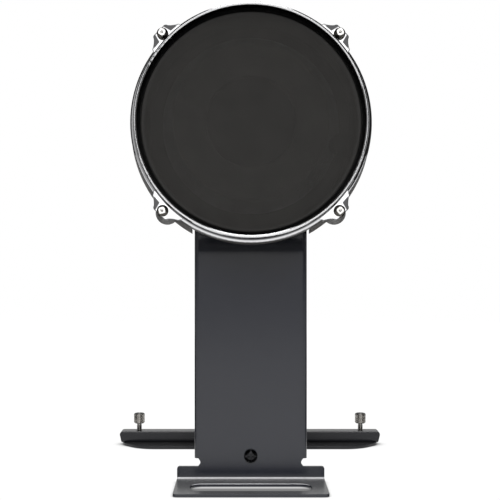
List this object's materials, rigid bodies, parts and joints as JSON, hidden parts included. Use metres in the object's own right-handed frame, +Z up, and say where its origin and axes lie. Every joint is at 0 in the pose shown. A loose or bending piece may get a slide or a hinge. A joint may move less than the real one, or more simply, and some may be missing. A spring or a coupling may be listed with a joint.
{
  "type": "practice pad",
  "caption": "Kick-drum practice pad: round mesh head in a flanged chrome hoop on a bent steel tower with a slotted foot plate for a pedal and a rear cross bar with screw spurs.",
  "frame": {"origin": "on the floor under the centre of the overall bounding box", "axes": "+Z up, +Y from the playing face towards the rear cross bar, +X to the right seen by the player"},
  "size_m": [0.3014, 0.286, 0.4613],
  "materials": {
    "powder_coat": "satin fine-texture dark slate powder coat",
    "powder_coat_base": "satin fine-texture near-black powder coat",
    "black_screw": "black oxide",
    "zinc": "zinc plated",
    "spur_steel": "nickel plated thread",
    "knurled_nickel": "satin nickel, straight knurl",
    "black_abs": "moulded, lightly textured",
    "brass": "plain",
    "rod_chrome": "bright plated",
    "nylon": "grey-brown nylon",
    "hoop_chrome": "mirror chrome plate",
    "hoop_alloy": "black anodised",
    "woven_mesh": "fine plain-woven polyester mesh",
    "grey_foam": "open-cell foam",
    "black_foam": "closed-cell foam",
    "ceramic": "fired ceramic",
    "sensor_steel": "galvanised",
    "lead_pvc": "PVC sleeve",
    "jack_plastic": "moulded",
    "jack_metal": "nickel plated"
  },
  "bodies": {
    "pad_tower": {"tower_plate": "powder_coat", "rear_base": "powder_coat_base", "rear_channel": "powder_coat_base", "base_screw": "black_screw", "base_washer": "zinc", "base_nut": "zinc", "spur_weld_nuts": "zinc", "drum_shell": "black_abs", "lug_inserts": "brass", "rod_washers": "zinc", "rod_nylon_washers": "nylon", "rim_hoop": "hoop_chrome", "flesh_hoop": "hoop_alloy", "mesh_head": "woven_mesh", "foam_ring": "grey_foam", "foam_cone": "black_foam", "piezo_ceramic": "ceramic", "piezo_disc": "brass", "piezo_tape": "black_foam", "sensor_plate": "sensor_steel", "sensor_plate_screws": "zinc", "sensor_lead": "lead_pvc", "tower_screws": "black_screw", "tower_washers": "zinc", "tower_inserts": "brass", "jack_body": "jack_plastic", "jack_bushing": "jack_metal", "jack_washer": "jack_metal", "jack_nut": "jack_metal"},
    "rod_upper_right": {"tension_rod_upper_right": "rod_chrome"},
    "rod_upper_left": {"tension_rod_upper_left": "rod_chrome"},
    "rod_lower_left": {"tension_rod_lower_left": "rod_chrome"},
    "rod_lower_right": {"tension_rod_lower_right": "rod_chrome"},
    "spur_left_stud": {"spur_stud_left": "spur_steel"},
    "spur_left_knob": {"spur_knob_left": "knurled_nickel"},
    "spur_right_stud": {"spur_stud_right": "spur_steel"},
    "spur_right_knob": {"spur_knob_right": "knurled_nickel"}
  },
  "joints": [
    {"name": "rod_upper_right_turn", "type": "hinge", "parent": "pad_tower", "child": "rod_upper_right", "pos_m": [0.0816, -0.103, 0.4259], "axis": [0, 1, 0], "continuous": true},
    {"name": "rod_upper_left_turn", "type": "hinge", "parent": "pad_tower", "child": "rod_upper_left", "pos_m": [-0.0816, -0.103, 0.4259], "axis": [0, 1, 0], "continuous": true},
    {"name": "rod_lower_left_turn", "type": "hinge", "parent": "pad_tower", "child": "rod_lower_left", "pos_m": [-0.0816, -0.103, 0.2627], "axis": [0, 1, 0], "continuous": true},
    {"name": "rod_lower_right_turn", "type": "hinge", "parent": "pad_tower", "child": "rod_lower_right", "pos_m": [0.0816, -0.103, 0.2627], "axis": [0, 1, 0], "continuous": true},
    {"name": "spur_left_travel", "type": "slide", "parent": "pad_tower", "child": "spur_left_stud", "axis": [0, 0, 1], "range_m": [-0.0061, 0.0081]},
    {"name": "spur_left_turn", "type": "hinge", "parent": "spur_left_stud", "child": "spur_left_knob", "pos_m": [-0.129, 0.135, 0.02], "axis": [0, 0, 1], "range_deg": [-2160, 2880]},
    {"name": "spur_right_travel", "type": "slide", "parent": "pad_tower", "child": "spur_right_stud", "axis": [0, 0, 1], "range_m": [-0.0061, 0.0081]},
    {"name": "spur_right_turn", "type": "hinge", "parent": "spur_right_stud", "child": "spur_right_knob", "pos_m": [0.129, 0.135, 0.02], "axis": [0, 0, 1], "range_deg": [-2160, 2880]}
  ],
  "couplings": [
    {"joint": "spur_left_travel", "follows": "spur_left_turn", "m_per_rad": 0.00015915},
    {"joint": "spur_right_travel", "follows": "spur_right_turn", "m_per_rad": 0.00015915}
  ]
}
